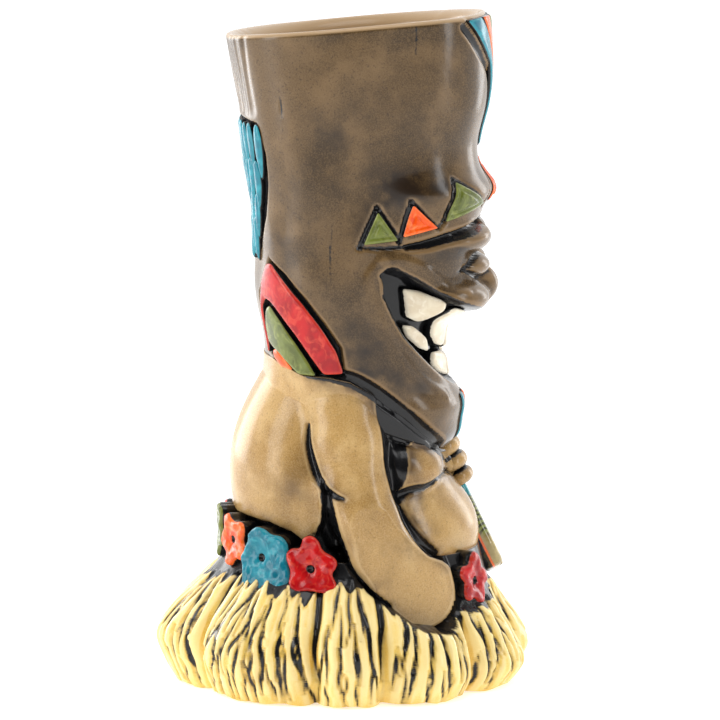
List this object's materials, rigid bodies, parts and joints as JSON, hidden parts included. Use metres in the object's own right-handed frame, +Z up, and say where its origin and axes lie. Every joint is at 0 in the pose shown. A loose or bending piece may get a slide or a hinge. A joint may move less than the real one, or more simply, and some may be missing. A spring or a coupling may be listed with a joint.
{
  "type": "tiki mug",
  "caption": "Ceramic drinking mug shaped as a carved log head with a wide grin on a squat seated body in a grass skirt, with applied crest, brow, ear and flower pieces.",
  "frame": {"origin": "centre of the foot, on the table", "axes": "+Z up along the mug; the face looks along -Y; the figure's right hand is on the -X side"},
  "size_m": [0.1092, 0.111, 0.1968],
  "materials": {
    "brown_glaze": "glossy mottled taupe-brown glaze with dark speckle",
    "foot_glaze": "wiped clay with a thin clear glaze",
    "olive_glaze": "glossy olive green glaze",
    "orange_glaze": "glossy orange glaze",
    "paddle_glaze": "khaki glaze with painted bands",
    "red_glaze": "glossy red glaze",
    "straw_glaze": "straw-yellow glaze on the ridges, black in the grooves",
    "tan_glaze": "glossy golden-tan glaze, airbrushed darker in the hollows",
    "teal_glaze": "glossy teal glaze",
    "tooth_glaze": "glossy cream-white glaze"
  },
  "bodies": {
    "root": {"back_feathers_row_1": "teal_glaze", "back_feathers_row_2": "teal_glaze", "back_feathers_row_3": "teal_glaze", "back_feathers_row_4": "teal_glaze", "beard_strip_left": "teal_glaze", "beard_strip_middle": "orange_glaze", "beard_strip_right": "teal_glaze", "body_vessel": "tan_glaze", "brow_triangle_olive_inner_left": "olive_glaze", "brow_triangle_olive_inner_right": "olive_glaze", "brow_triangle_olive_outer_left": "olive_glaze", "brow_triangle_olive_outer_right": "olive_glaze", "brow_triangle_orange_left": "orange_glaze", "brow_triangle_orange_middle": "orange_glaze", "brow_triangle_orange_right": "orange_glaze", "crest_plume_middle": "red_glaze", "crest_plume_olive_left": "olive_glaze", "crest_plume_olive_right": "olive_glaze", "crest_plume_orange_left": "orange_glaze", "crest_plume_orange_right": "orange_glaze", "crest_plume_teal_left": "teal_glaze", "crest_plume_teal_right": "teal_glaze", "ear_leaf_olive_left": "olive_glaze", "ear_leaf_olive_right": "olive_glaze", "ear_leaf_orange_left": "orange_glaze", "ear_leaf_orange_right": "orange_glaze", "ear_leaf_red_left": "red_glaze", "ear_leaf_red_right": "red_glaze", "floor_slab": "foot_glaze", "flower_olive_back": "olive_glaze", "flower_olive_left": "olive_glaze", "flower_orange_back": "orange_glaze", "flower_orange_left": "orange_glaze", "flower_red_back": "red_glaze", "flower_red_front": "red_glaze", "flower_red_left": "red_glaze", "flower_red_side": "red_glaze", "flower_teal_front": "teal_glaze", "flower_teal_left": "teal_glaze", "flower_teal_side": "teal_glaze", "grass_skirt": "straw_glaze", "head_vessel": "brown_glaze", "left_arm": "tan_glaze", "left_fingers": "tan_glaze", "lower_tooth_front_left": "tooth_glaze", "lower_tooth_front_right": "tooth_glaze", "lower_tooth_middle_left": "tooth_glaze", "lower_tooth_middle_right": "tooth_glaze", "lower_tooth_side_left": "tooth_glaze", "lower_tooth_side_right": "tooth_glaze", "paddle": "paddle_glaze", "right_arm": "tan_glaze", "upper_tooth_front_left": "tooth_glaze", "upper_tooth_front_right": "tooth_glaze", "upper_tooth_middle_left": "tooth_glaze", "upper_tooth_middle_right": "tooth_glaze", "upper_tooth_side_left": "tooth_glaze", "upper_tooth_side_right": "tooth_glaze"}
  },
  "joints": []
}
